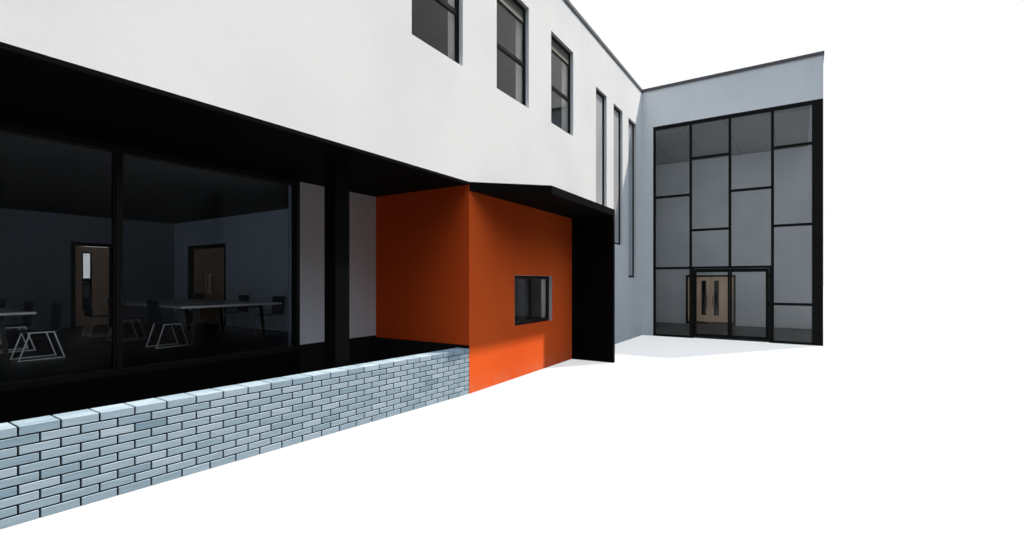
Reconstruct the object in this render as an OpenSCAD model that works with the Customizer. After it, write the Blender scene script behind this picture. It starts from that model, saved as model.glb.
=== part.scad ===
// School building: a long two-storey wing that overhangs a terrace, and a taller
// glazed entrance block across its end. Lengths are millimetres.
// x runs along the wing, y runs into the building, z is up from the paving.
// Before place() shifts them, x = 0 is the inner corner and y = 0 the wing's face.

/* [Main form] */
// Length of the wing, from its far end to the inner corner
wing_length = 25450; // [25450:10:27000]
// Depth of the wing, from its front face to its rear face
wing_depth = 12000; // [11500:50:13000]
// Length of the entrance block, along the wing's direction
block_length = 8800; // [8000:50:9500]
// How far the block stands in front of the wing's face
block_projection = 4880; // [4880:10:5200]
// Height of the outer walls, to the underside of the coping
wall_height = 7830; // [7600:10:8200]
// Thickness of the outer walls
wall_thick = 300; // [280:5:350]

/* [Levels] */
// Top of the entrance floor
low_floor = 50; // [40:5:60]
// Top of the raised floor and of the terrace
raised_floor = 700; // [650:10:750]
// Underside of the black soffit
soffit_under = 3240; // [3200:10:3270]
// Foot of the white wall over the terrace and the canopy
white_foot = 3280; // [3280:5:3320]
// Underside of the canopy
canopy_under = 3145; // [3100:5:3180]
// Top of the upper floor
upper_floor = 3900; // [3850:10:4000]
// Top of the flat roof, inside the parapet
roof_top = 7300; // [7250:10:7400]
// Thickness of the floor and roof slabs
slab_thick = 300; // [250:10:300]
// Underside of the entrance ceiling
lobby_ceiling_under = 6510; // [6450:10:6550]
// Thickness of the coping
coping_thick = 85; // [60:5:100]
// How far the coping stands out from the walls
coping_lip = 25; // [10:5:40]

/* [Terrace side] */
// How far the ground floor is set back under the wing
recess_depth = 2060; // [1900:10:2200]
// Width of one bay of the dining room window
bay = 2200; // [2100:10:2200]
// Number of those bays
bay_count = 6; // [3:1:6]
// Width of the white panel beside the dining room window
panel_width = 1487; // [1400:1:1500]
// Side of the square columns
column_size = 210; // [150:10:220]
// Distance from the wing's face to the columns
column_back = 500; // [450:10:500]
// Distance from the orange corner to the first column's centre
column_start = 1960; // [1800:5:2100]
// Distance between columns
column_pitch = 6600; // [6500:50:6800]
// Height of the brick planter wall
planter_height = 700; // [600:10:700]
// Thickness of the brick planter wall
planter_thick = 225; // [215:5:230]
// How far the planter wall turns back, for each metre along the wing
planter_turn = 85.3; // [85:0.1:87]

/* [Orange bay and canopy] */
// Distance from the inner corner to the orange corner
orange_start = 9275; // [9200:5:9300]
// Length of the orange front
orange_length = 3819; // [3800:1:3830]
// Thickness of the orange walls
orange_thick = 250; // [250:10:300]
// Distance from the orange corner to the hatch window
hatch_start = 1349; // [1200:1:1500]
// Width of the hatch window
hatch_width = 1488; // [1300:1:1600]
// Sill of the hatch window
hatch_sill = 930; // [850:10:1000]
// Head of the hatch window
hatch_head = 1850; // [1750:10:1950]
// How far the canopy and its fin reach out
canopy_reach = 960; // [900:10:1100]
// Length of the canopy's slanted end, along the wing
canopy_slant = 915; // [850:5:1000]
// Thickness of the upright fin
fin_thick = 106; // [90:1:120]

/* [Windows] */
// Width of an upper window
window_width = 1100; // [1000:10:1200]
// Sill of the upper windows
window_sill = 5000; // [4950:10:5050]
// Head of the upper windows
window_head = 6890; // [6850:10:6900]
// Bar between the two glazed lights
window_bar = 5790; // [5600:10:5800]
// Bar under the grey head panel
panel_bar = 6590; // [6400:10:6600]
// Height of those two bars
thin_bar = 30; // [25:5:40]
// Distance from the inner corner to the nearest upper window
window_start = 6477; // [6400:1:6500]
// Distance between upper windows
window_pitch = 2030; // [1950:10:2030]
// Number of upper windows in the front of the wing
window_count = 10; // [5:1:10]
// Number of windows that the back adds, behind the entrance block
back_extra = 6; // [0:1:6]
// Sill of the lower windows at the back
back_sill = 1750; // [1650:10:1850]
// Head of the lower windows at the back
back_head = 3050; // [2950:10:3150]
// Distance between the windows of the block's end wall
end_pitch = 3800; // [3500:50:3900]
// Width of a slot window
slot_width = 760; // [700:10:760]
// Distance between slot windows
slot_pitch = 1300; // [1250:10:1310]
// Distance from the inner corner to the nearest slot window's centre
slot_start = 1020; // [950:10:1050]
// Head of the slot windows
slot_head = 6620; // [6500:10:6650]
// Sill of the slot window nearest the inner corner
slot_sill = 1850; // [1800:10:1950]
// How much higher each next slot window's sill is
slot_step = 915; // [850:5:950]
// How deep the frames sit behind the wall's face
reveal = 70; // [60:5:110]
// Depth of the window frames
frame_depth = 50; // [45:5:80]
// Width of the frames' other bars
bar_width = 60; // [50:2:70]
// Thickness of the glazing
glass_thick = 24; // [12:2:28]

/* [Curtain wall] */
// Grid of the curtain wall, across and up
grid = 1100; // [1080:5:1100]
// Top of the curtain wall
curtain_height = 6650; // [6620:5:6700]
// Width of the white strip beside the inner corner
strip_width = 356; // [350:1:360]
// Side of the corner post
post_size = 247; // [200:1:260]
// Depth of the curtain wall's bars
curtain_depth = 120; // [100:5:140]
// Height of the curtain wall's head bar
curtain_head = 90; // [60:5:100]
// Top of the entrance door frame
door_head = 2180; // [2150:5:2230]
// Width of the entrance door frame's uprights
jamb_width = 50; // [40:2:60]
// Depth of the glazed side of the block, to the lobby's back wall
lobby_depth = 4520; // [4400:10:4600]

/* [Doors] */
// Thickness of the inner walls
inner_thick = 150; // [125:5:150]
// Width of the double doorways inside
double_width = 1810; // [1700:10:1900]
// Width of the single doorway inside
single_width = 800; // [780:10:950]
// Height of the doorways inside, over the floor
doorway_height = 1930; // [1900:10:2100]
// Distance from the wing's face to the lobby doorway, towards the yard
lobby_door_start = 450; // [400:10:500]
// Distance from the wing's face to the dining room's double doorway
dining_door_start = 7070; // [6600:10:7100]
// Depth of the dining room's back wall behind the wing's face
dining_back = 9600; // [9500:10:9700]
// Distance from the orange corner to the single doorway, along the wing
back_door_start = 1245; // [1100:5:1300]
// Width of the inner door frames' uprights and heads
lining = 80; // [40:5:90]
// Thickness of the wooden leaves
leaf_thick = 44; // [40:1:50]
// Thickness of the glazed entrance leaves
entrance_leaf_thick = 50; // [45:1:55]
// Width of the entrance leaves' outer stiles
stile = 80; // [70:5:120]
// Width of the entrance leaves' meeting stiles
meeting_stile = 50; // [50:1:60]
// Gap round a leaf
leaf_gap = 6; // [6:1:8]
// Gap between the leaves of a double door
meeting_gap = 8; // [8:1:10]
// Width of the vision slots in the wooden doors
slot_glass_width = 150; // [80:5:160]
// Radius of the hinge knuckles
knuckle_radius = 5; // [4:0.5:5]

/* [Dining room furniture] */
// Height of the table tops over the floor
table_height = 650; // [620:10:700]
// Width of a table
table_width = 1650; // [1600:10:1680]
// Thickness of the table tops
table_top_thick = 30; // [25:1:35]
// Height of the seats over the floor
seat_height = 380; // [360:5:400]
// Height of the chair backs over the floor
chair_height = 740; // [710:5:760]
// Width of a chair
chair_width = 400; // [380:5:410]

/* [Hidden] */
half = bar_width / 2;
east = block_length;
west = -wing_length;
yard = -block_projection;
centre_x = (west + east) / 2;
centre_y = (yard + wing_depth) / 2;
wall_in_west = west + wall_thick;
wall_in_east = east - wall_thick;
wall_in_rear = wing_depth - wall_thick;
wall_in_yard = yard + wall_thick;
orange_x = -orange_start;
fin_x = orange_x + orange_length;
white_x = fin_x + fin_thick;
glazing_right = orange_x - panel_width;
glazing_left = glazing_right - bay * bay_count;
recess_in = recess_depth + wall_thick;
end_wall_in = orange_x + inner_thick;
slab_under = upper_floor - slab_thick;
roof_under = roof_top - slab_thick;
ceiling_board = 40;
lobby_ceiling_top = curtain_height + 50;
floor_edge = -slot_start - 2 * slot_pitch - slot_width / 2 - 250;
lobby_wall_in = lobby_depth + inner_thick;
post_inner = block_projection - post_size;
line_0 = strip_width + half;
line_1 = line_0 + grid;
line_2 = line_1 + grid;
line_3 = line_2 + grid;
foot_bar = half;
head_bar = curtain_height - curtain_head + half;
door_bar = door_head - half;
outer_left = [foot_bar, door_bar, 4 * grid, head_bar];
door_left = [door_bar, 3 * grid, 5 * grid, head_bar];
door_right = [door_bar, 4 * grid, head_bar];
outer_right = [foot_bar, grid, 3 * grid, 5 * grid, head_bar];
side_columns = 4;
side_start = post_size - half;
side_grid = (lobby_depth - half - side_start) / side_columns;
curtain_y = [0, curtain_depth];
curtain_glass_y = [(curtain_depth - glass_thick) / 2, (curtain_depth + glass_thick) / 2];
frame_y = [reveal, reveal + frame_depth];
glass_y = [reveal + (frame_depth - glass_thick) / 2, reveal + (frame_depth + glass_thick) / 2];
door_left_edge = line_1 + half + jamb_width;
door_right_edge = line_3 - half - jamb_width;
entrance_leaf = (door_right_edge - door_left_edge - 2 * leaf_gap - meeting_gap) / 2;
entrance_foot = low_floor + 10;
entrance_top = door_head - bar_width - leaf_gap;
entrance_x = (curtain_depth - entrance_leaf_thick) / 2;
double_leaf = (double_width - 2 * lining - 2 * leaf_gap - meeting_gap) / 2;
single_leaf = single_width - 2 * lining - 2 * leaf_gap;
leaf_height = doorway_height - lining - leaf_gap - 10;
upper_lights = [[window_sill + bar_width, window_bar - thin_bar / 2],
    [window_bar + thin_bar / 2, panel_bar - thin_bar / 2],
    [panel_bar + thin_bar / 2, window_head - bar_width]];
cut = 10;

white = "#ecebe9";
black = "#141414";
orange = "#c8431c";
frame_black = "#1c1d1f";
glass_blue = [0.62, 0.72, 0.78, 0.45];
wood = "#d8b596";

// A box between two values on each axis
module span(x, y, z) {
    translate([x[0], y[0], z[0]]) cube([x[1] - x[0], y[1] - y[0], z[1] - z[0]]);
}

// Moves the building so that its box stands centred on the origin
module place() {
    translate([-centre_x, -centre_y, 0]) children();
}

// Each side's own frame: x along the wall, y inwards from its outer face
module on_back() {
    translate([0, wing_depth, 0]) mirror([0, 1, 0]) children();
}
module on_end() {
    translate([block_length, 0, 0]) rotate([0, 0, 90]) children();
}
module on_block_front() {
    rotate([0, 0, -90]) children();
}
module on_block_side() {
    translate([0, yard, 0]) children();
}

// The clear lights between upright centres xs and bar centres zs
module lights(xs, zs, y) {
    for (i = [0 : len(xs) - 2], j = [0 : len(zs) - 2])
        span([xs[i] + half, xs[i + 1] - half], y, [zs[j] + half, zs[j + 1] - half]);
}

// The bars that cross one column of a curtain wall, the head bar up to its top
module column_bars(x0, x1, zs) {
    for (z = zs)
        span([x0 + half, x1 - half], curtain_y, [z - half, z == head_bar ? curtain_height : z + half]);
}

function across(x, w) = [x + half, x + w - half];
function upright(sill, head) = [sill + half, head - half];

module hole(x, w, sill, head, thick = wall_thick) {
    span([x, x + w], [-cut, thick + cut], [sill, head]);
}

module frame(x, w, sill, head, xs, zs) {
    difference() {
        span([x, x + w], frame_y, [sill, head]);
        lights(xs, zs, [frame_y[0] - cut, frame_y[1] + cut]);
    }
}

// Left edges of the repeated windows, along their own walls
function window_x(i) = -window_start - i * window_pitch;
function end_x(i) = 900 + (i - 1) * end_pitch;
function slot_x(i) = -slot_start - i * slot_pitch - slot_width / 2;
function slot_foot(i) = slot_sill + i * slot_step;
end_count = 3;

// One light of an upper window, counted up from its sill
module upper_light(x, i, y) {
    span([x + bar_width, x + window_width - bar_width], y, upper_lights[i]);
}
module upper_frame(x) {
    difference() {
        span([x, x + window_width], frame_y, [window_sill, window_head]);
        for (i = [0 : 2]) upper_light(x, i, [frame_y[0] - cut, frame_y[1] + cut]);
    }
}
module upper_panes(x) {
    for (i = [0, 1]) upper_light(x, i, glass_y);
}
module head_panel(x) {
    upper_light(x, 2, glass_y);
}
module back_frame(x) {
    frame(x, window_width, back_sill, back_head, across(x, window_width),
        upright(back_sill, back_head));
}
module back_pane(x) {
    lights(across(x, window_width), upright(back_sill, back_head), glass_y);
}
module slot_frame(i) {
    frame(slot_x(i), slot_width, slot_foot(i), slot_head, across(slot_x(i), slot_width),
        upright(slot_foot(i), slot_head));
}
module slot_pane(i) {
    lights(across(slot_x(i), slot_width), upright(slot_foot(i), slot_head), glass_y);
}

hatch_x = orange_x + hatch_start;
hatch_uprights = [hatch_x + half, hatch_x + hatch_width / 2, hatch_x + hatch_width - half];
hatch_bars = [hatch_sill + half, hatch_head - half];

// Floors, roofs and ceilings
module ground_floor() color("#4a4b4d") place() linear_extrude(low_floor) polygon([
    [curtain_depth, yard + post_size], [post_size, yard + post_size],
    [post_size, yard + curtain_depth], [lobby_depth, yard + curtain_depth],
    [lobby_depth, wall_in_yard], [wall_in_east, wall_in_yard], [wall_in_east, wall_in_rear],
    [white_x, wall_in_rear], [white_x, recess_in], [orange_x + orange_thick, recess_in],
    [orange_x + orange_thick, orange_thick], [fin_x, orange_thick], [fin_x, wall_thick],
    [wall_thick, wall_thick], [wall_thick, -strip_width], [curtain_depth, -strip_width]]);

module dining_floor() color("#3c3e41") place()
    span([wall_in_west, white_x], [recess_in, wall_in_rear], [raised_floor - slab_thick, raised_floor]);

module upper_floor_slab() color("#a9a8a4") place() {
    span([wall_in_west, floor_edge], [wall_thick, wall_in_rear], [slab_under, upper_floor]);
    span([lobby_wall_in, wall_in_east], [wall_in_yard, wall_in_rear], [slab_under, upper_floor]);
}

module wing_roof() color("#8d8f90") place()
    span([wall_in_west, wall_thick], [wall_thick, wall_in_rear], [roof_under, roof_top]);

module block_roof() color("#8d8f90") place()
    span([wall_thick, wall_in_east], [wall_in_yard, wall_in_rear], [roof_under, roof_top]);

module ceilings() color("#d5d8da") place() {
    span([wall_in_west, orange_x], [recess_in, dining_back],
        [soffit_under, soffit_under + ceiling_board]);
    span([wall_thick, lobby_depth], [wall_in_yard, wall_in_rear],
        [lobby_ceiling_under, lobby_ceiling_top]);
}

// Terrace side: soffit, canopy, columns and planter wall
module soffit() color(black) place()
    span([west, orange_x], [0, recess_depth], [soffit_under, white_foot]);

module canopy() color(black) place()
    translate([0, 0, canopy_under]) linear_extrude(white_foot - canopy_under) polygon([
        [orange_x, 0], [orange_x + canopy_slant, -canopy_reach], [white_x, -canopy_reach],
        [white_x, orange_thick], [fin_x, orange_thick], [fin_x, 0]]);

module canopy_fin() color(black) place()
    span([fin_x, white_x], [-canopy_reach, orange_thick], [0, canopy_under]);

module columns() color(black) place() {
    column_x = orange_x - column_start - column_size / 2;
    for (x = [column_x : -column_pitch : wall_in_west])
        span([x, x + column_size], [column_back, column_back + column_size], [0, soffit_under]);
}

module planter_wall() color("#71879b") place() {
    turn = planter_turn / 1000 * (orange_x - west);
    linear_extrude(planter_height) polygon([[orange_x, 0], [orange_x, planter_thick],
        [west, turn + planter_thick], [west, turn]]);
}

// Orange bay
module orange_front_wall() color(orange) place() difference() {
    span([orange_x, fin_x], [0, orange_thick], [0, white_foot]);
    hole(hatch_x, hatch_width, hatch_sill, hatch_head, orange_thick);
}

module orange_side_wall() color(orange) place()
    span([orange_x, orange_x + orange_thick], [orange_thick, recess_in], [0, white_foot]);

// Dining room front, set back under the wing
module recess_wall_panels() color(white) place() {
    span([glazing_right, orange_x], [recess_depth, recess_in], [0, slab_under]);
    span([wall_in_west, glazing_left], [recess_depth, recess_in], [0, slab_under]);
}

module dining_sill_and_lintel() color(black) place() {
    span([glazing_left, glazing_right], [recess_depth, recess_in], [0, raised_floor]);
    span([glazing_left, glazing_right], [recess_depth, recess_in], [soffit_under, slab_under]);
}

dining_uprights = concat([glazing_left + half],
    [for (i = [1 : bay_count - 1]) glazing_left + i * bay], [glazing_right - half]);
dining_bars = [raised_floor + half, soffit_under - half];

module dining_window_frame() color(frame_black) place() translate([0, recess_depth, 0]) difference() {
    span([glazing_left, glazing_right], curtain_y, [raised_floor, soffit_under]);
    lights(dining_uprights, dining_bars, [-cut, curtain_depth + cut]);
}

module dining_window_glass() color(glass_blue) place() translate([0, recess_depth, 0])
    lights(dining_uprights, dining_bars, curtain_glass_y);

// Outer walls
module front_wall() color(white) place() difference() {
    span([wall_in_west, white_x], [0, wall_thick], [white_foot, wall_height]);
    for (i = [0 : window_count - 1]) hole(window_x(i), window_width, window_sill, window_head);
}

module slot_window_wall() color(white) place() difference() {
    span([white_x, wall_thick], [0, wall_thick], [0, wall_height]);
    for (i = [0 : 2]) hole(slot_x(i), slot_width, slot_foot(i), slot_head);
}

module rear_wall() color(white) place() on_back() difference() {
    span([wall_in_west, wall_in_east], [0, wall_thick], [0, wall_height]);
    for (i = [-back_extra : window_count - 1]) {
        hole(window_x(i), window_width, window_sill, window_head);
        hole(window_x(i), window_width, back_sill, back_head);
    }
}

module left_end_wall() color(white) place() {
    span([west, wall_in_west], [recess_depth, wing_depth], [0, wall_height]);
    span([west, wall_in_west], [0, recess_depth], [white_foot, wall_height]);
}

module block_front_wall() color(white) place() on_block_front() {
    span([0, strip_width], [0, wall_thick], [0, curtain_height]);
    span([0, block_projection], [0, wall_thick], [curtain_height, wall_height]);
}

module block_side_wall() color(white) place() on_block_side() {
    span([lobby_depth, wall_in_east], [0, wall_thick], [0, curtain_height]);
    span([wall_thick, wall_in_east], [0, wall_thick], [curtain_height, wall_height]);
}

module block_end_wall() color(white) place() on_end() difference() {
    span([yard, wing_depth], [0, wall_thick], [0, wall_height]);
    for (i = [0 : end_count - 1]) {
        hole(end_x(i), window_width, window_sill, window_head);
        hole(end_x(i), window_width, back_sill, back_head);
    }
}

// Window frames and glazing
module front_window_frames() color(frame_black) place() {
    for (i = [0 : window_count - 1]) upper_frame(window_x(i));
    for (i = [0 : 2]) slot_frame(i);
    frame(hatch_x, hatch_width, hatch_sill, hatch_head, hatch_uprights, hatch_bars);
}

module back_window_frames() color(frame_black) place() {
    on_back() for (i = [-back_extra : window_count - 1]) {
        upper_frame(window_x(i));
        back_frame(window_x(i));
    }
    on_end() for (i = [0 : end_count - 1]) {
        upper_frame(end_x(i));
        back_frame(end_x(i));
    }
}

module window_head_panels() color("#8c9196") place() {
    for (i = [0 : window_count - 1]) head_panel(window_x(i));
    on_back() for (i = [-back_extra : window_count - 1]) head_panel(window_x(i));
    on_end() for (i = [0 : end_count - 1]) head_panel(end_x(i));
}

module window_glass() color(glass_blue) place() {
    for (i = [0 : window_count - 1]) upper_panes(window_x(i));
    on_back() for (i = [-back_extra : window_count - 1]) {
        upper_panes(window_x(i));
        back_pane(window_x(i));
    }
    for (i = [0 : 2]) slot_pane(i);
    lights(hatch_uprights, hatch_bars, glass_y);
    on_end() for (i = [0 : end_count - 1]) {
        upper_panes(end_x(i));
        back_pane(end_x(i));
    }
}

// Curtain wall of the entrance block
module corner_post() color(frame_black) place() on_block_front()
    span([post_inner, block_projection], [0, post_size], [0, curtain_height]);

module curtain_wall_sides() color(frame_black) place() on_block_front() {
    for (x = [line_0, line_1, line_3]) span([x - half, x + half], curtain_y, [0, curtain_height]);
    column_bars(line_0, line_1, outer_left);
    column_bars(line_3, post_inner + half, outer_right);
    span([line_1 + half, door_left_edge], curtain_y, [0, door_head - bar_width]);
    span([door_right_edge, line_3 - half], curtain_y, [0, door_head - bar_width]);
}

module curtain_wall_over_doors() color(frame_black) place() on_block_front() {
    span([line_2 - half, line_2 + half], curtain_y, [door_head, curtain_height]);
    column_bars(line_1, line_2, [3 * grid, 5 * grid]);
    column_bars(line_2, line_3, [4 * grid]);
    column_bars(line_1, line_3, [door_bar, head_bar]);
}

module side_curtain_wall() color(frame_black) place() on_block_side() {
    for (i = [1 : side_columns]) {
        x = side_start + i * side_grid;
        span([x - half, x + half], curtain_y, [0, curtain_height]);
        column_bars(x - side_grid, x, i % 2 == 0 ? outer_left : outer_right);
    }
}

module curtain_wall_glass() color(glass_blue) place() {
    on_block_front() {
        lights([line_0, line_1], outer_left, curtain_glass_y);
        lights([line_1, line_2], door_left, curtain_glass_y);
        lights([line_2, line_3], door_right, curtain_glass_y);
        lights([line_3, post_inner + half], outer_right, curtain_glass_y);
    }
    on_block_side() for (i = [1 : side_columns]) {
        x = side_start + i * side_grid;
        lights([x - side_grid, x], i % 2 == 0 ? outer_left : outer_right, curtain_glass_y);
    }
}

// Inner walls, split beside and over each doorway
lobby_door_y = [-lobby_door_start - double_width, -lobby_door_start];
dining_door_y = [dining_door_start, dining_door_start + double_width];
back_door_x = [orange_x - back_door_start - single_width, orange_x - back_door_start];

module lobby_wall() color(white) place() {
    span([lobby_depth, lobby_wall_in], [wall_in_yard, lobby_door_y[0]], [low_floor, roof_under]);
    span([lobby_depth, lobby_wall_in], [lobby_door_y[1], wall_in_rear], [low_floor, roof_under]);
}

module dining_end_wall() color("#b9c0c4") place() {
    span([orange_x, end_wall_in], [recess_in, dining_door_y[0]], [raised_floor, slab_under]);
    span([orange_x, end_wall_in], [dining_door_y[1], dining_back], [raised_floor, slab_under]);
}

module dining_back_wall() color("#b9c0c4") place() {
    y = [dining_back, dining_back + inner_thick];
    span([wall_in_west, back_door_x[0]], y, [raised_floor, slab_under]);
    span([back_door_x[1], end_wall_in], y, [raised_floor, slab_under]);
}

module door_lintels() color(white) place() {
    span([lobby_depth, lobby_wall_in], lobby_door_y, [low_floor + doorway_height, roof_under]);
    span([orange_x, end_wall_in], dining_door_y, [raised_floor + doorway_height, slab_under]);
    span(back_door_x, [dining_back, dining_back + inner_thick],
        [raised_floor + doorway_height, slab_under]);
}

// A lining round a doorway: x across the doorway from 0 to width, y through the wall
module door_lining(width) {
    difference() {
        span([0, width], [0, inner_thick], [0, doorway_height]);
        span([lining, width - lining], [-cut, inner_thick + cut], [-cut, doorway_height - lining]);
    }
}

// Each doorway's own frame, with y towards the side that its leaves open to
module in_lobby_doorway() {
    translate([lobby_wall_in, lobby_door_y[0], low_floor]) rotate([0, 0, 90]) children();
}
module in_dining_doorway() {
    translate([orange_x, dining_door_y[1], raised_floor]) rotate([0, 0, -90]) children();
}
module in_back_doorway() {
    translate([back_door_x[0], dining_back, raised_floor]) children();
}

module door_frames() color("#3b3a38") place() {
    in_lobby_doorway() door_lining(double_width);
    in_dining_doorway() door_lining(double_width);
    in_back_doorway() door_lining(single_width);
}

// Three hinge knuckles on a leaf's own hinge line, the outer two as far from its ends
module knuckles(foot, top) {
    for (z = [foot + 200, (foot + top) / 2, top - 200])
        translate([0, 0, z - 50]) cylinder(r = knuckle_radius, h = 100, $fn = 32);
}

// A wooden leaf with a tall vision slot, hinge edge at x = 0, flush with the far face
module wooden_leaf(width, slot_from_hinge) {
    difference() {
        span([0, width], [inner_thick - leaf_thick, inner_thick], [0, leaf_height]);
        span([slot_from_hinge, slot_from_hinge + slot_glass_width],
            [0, inner_thick + cut], [leaf_height * 0.2, leaf_height * 0.92]);
    }
    translate([0, inner_thick, 0]) knuckles(0, leaf_height);
}

// The first and the second leaf of a double doorway
module first_leaf(width, slot_from_hinge) {
    translate([lining + leaf_gap, 0, 10]) wooden_leaf(width, slot_from_hinge);
}
module second_leaf(width, slot_from_hinge, doorway = double_width) {
    translate([doorway, 0, 0]) mirror([1, 0, 0]) first_leaf(width, slot_from_hinge);
}

double_slot = double_leaf - slot_glass_width - 150;
module lobby_door_left() color(wood) place() in_lobby_doorway() second_leaf(double_leaf, double_slot);
module lobby_door_right() color(wood) place() in_lobby_doorway() first_leaf(double_leaf, double_slot);
module dining_door_left() color(wood) place() in_dining_doorway() first_leaf(double_leaf, double_slot);
module dining_door_right() color(wood) place() in_dining_doorway() second_leaf(double_leaf, double_slot);
module corridor_door() color(wood) place() in_back_doorway()
    second_leaf(single_leaf, single_leaf - slot_glass_width - 150, single_width);

// Glazed entrance leaves: x from the hinge edge, y inwards
module leaf_light(grow) {
    span([stile, entrance_leaf - meeting_stile], [-grow, entrance_leaf_thick + grow],
        [entrance_foot + stile, entrance_top - 100]);
}
module entrance_leaf_frame() {
    difference() {
        span([0, entrance_leaf], [0, entrance_leaf_thick], [entrance_foot, entrance_top]);
        leaf_light(cut);
    }
    knuckles(entrance_foot, entrance_top);
}
module entrance_leaf_glass() {
    leaf_light(-(entrance_leaf_thick - glass_thick) / 2);
}
module entrance_left() {
    on_block_front() translate([door_left_edge + leaf_gap, entrance_x, 0]) children();
}
module entrance_right() {
    on_block_front() translate([door_right_edge - leaf_gap, entrance_x, 0]) mirror([1, 0, 0]) children();
}
module entrance_door_left() color(frame_black) place() entrance_left() entrance_leaf_frame();
module entrance_door_right() color(frame_black) place() entrance_right() entrance_leaf_frame();
module entrance_glass_left() color(glass_blue) place() entrance_left() entrance_leaf_glass();
module entrance_glass_right() color(glass_blue) place() entrance_right() entrance_leaf_glass();

// Dining room tables: right edge, near end and far end of each, and its three trestles
tables = [[-13175, 4010, 7560], [-9975, 3760, 6960]];
trestle_tube = 40;
trestle_top = table_height - table_top_thick;
trestle_inset = 200;
trestle_splay = 60;

module table_tops() color("#dcdedf") place() for (t = tables)
    span([t[0] - table_width, t[0]], [t[1], t[2]],
        [raised_floor + trestle_top, raised_floor + table_height]);

// Two splayed legs under a rail, x across the table from its left edge, z up from the floor
module trestle() {
    in = trestle_inset;
    out = table_width - trestle_inset;
    w = trestle_tube;
    s = trestle_splay;
    rotate([90, 0, 0]) linear_extrude(w, center = true) polygon([
        [in, 0], [in + w, 0], [in + s + w, trestle_top - w], [out - s - w, trestle_top - w],
        [out - w, 0], [out, 0], [out - s, trestle_top], [in + s, trestle_top]]);
}

module table_trestles() color(frame_black) place() for (t = tables)
    for (y = [t[1] + trestle_inset, (t[1] + t[2]) / 2, t[2] - trestle_inset])
        translate([t[0] - table_width, y, raised_floor]) trestle();

// Chairs: rear edge, middle, and the turn that faces them to their table
chairs = [[-15145, 4420, 0], [-15145, 5680, 0], [-15145, 7160, 0],
    [-12855, 4420, 180], [-12855, 5680, 180], [-12855, 7160, 180],
    [-11795, 4310, 0], [-11795, 5860, 0], [-11795, 7060, 0],
    [-9425, 4730, 180], [-9425, 6010, 180], [-9425, 7960, 180]];
shell = 12;
sled_reach = 440;

// Extrudes a side view of the chair across it, between two distances from its middle
module at_chairs(from, to) {
    for (c = chairs) translate([c[0], c[1], raised_floor]) rotate([0, 0, c[2]])
        translate([0, to, 0]) rotate([90, 0, 0]) linear_extrude(to - from) children();
}

module chair_shells() color("#1d2a3a") place() at_chairs(-chair_width / 2, chair_width / 2)
    polygon([[0, chair_height], [32, seat_height + 10], [46, seat_height - 8],
        [66, seat_height - shell], [410, seat_height - shell], [410, seat_height],
        [70, seat_height], [54, seat_height + 4], [44, seat_height + 14], [shell, chair_height]]);

// A bent-wire side: a ring with its long bar on the floor and its short bar under the seat
module sled_side() {
    top = seat_height - shell;
    lean = 110 / top;
    bar = shell * sqrt(1 + lean * lean);
    difference() {
        polygon([[-20, 0], [sled_reach, 0], [sled_reach - 110, top], [90, top]]);
        polygon([[-20 + lean * shell + bar, shell], [sled_reach - lean * shell - bar, shell],
            [sled_reach - 110 + lean * shell - bar, top - shell],
            [90 - lean * shell + bar, top - shell]]);
    }
}

module chair_sleds() color("#c9ccd0") place() {
    at_chairs(-chair_width / 2 + 20, -chair_width / 2 + 20 + shell) sled_side();
    at_chairs(chair_width / 2 - 20 - shell, chair_width / 2 - 20) sled_side();
}

// Copings on the parapet
function lip(low, high) = [low - coping_lip, high + coping_lip];
module coping(x, y) span(x, y, [wall_height, wall_height + coping_thick]);

module copings_along_wing() color("#55595c") place() {
    coping([west - coping_lip, -coping_lip], lip(0, wall_thick));
    coping([wall_thick + coping_lip, wall_in_east - coping_lip], lip(yard, wall_in_yard));
    coping(lip(west, east), lip(wall_in_rear, wing_depth));
}

module copings_across_wing() color("#55595c") place() {
    coping(lip(west, wall_in_west), [wall_thick + coping_lip, wall_in_rear - coping_lip]);
    coping(lip(0, wall_thick), lip(yard, wall_thick));
    coping(lip(wall_in_east, east), [yard - coping_lip, wall_in_rear - coping_lip]);
}

ground_floor();
dining_floor();
upper_floor_slab();
wing_roof();
block_roof();
ceilings();
soffit();
canopy();
canopy_fin();
columns();
planter_wall();
orange_front_wall();
orange_side_wall();
recess_wall_panels();
dining_sill_and_lintel();
dining_window_frame();
dining_window_glass();
front_wall();
slot_window_wall();
front_window_frames();
window_head_panels();
window_glass();
rear_wall();
back_window_frames();
left_end_wall();
block_front_wall();
block_side_wall();
block_end_wall();
corner_post();
curtain_wall_sides();
curtain_wall_over_doors();
side_curtain_wall();
curtain_wall_glass();
lobby_wall();
dining_end_wall();
dining_back_wall();
door_lintels();
door_frames();
table_tops();
table_trestles();
chair_shells();
chair_sleds();
copings_along_wing();
copings_across_wing();
entrance_door_left();
entrance_glass_left();
entrance_door_right();
entrance_glass_right();
lobby_door_left();
lobby_door_right();
dining_door_left();
dining_door_right();
corridor_door();
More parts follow.
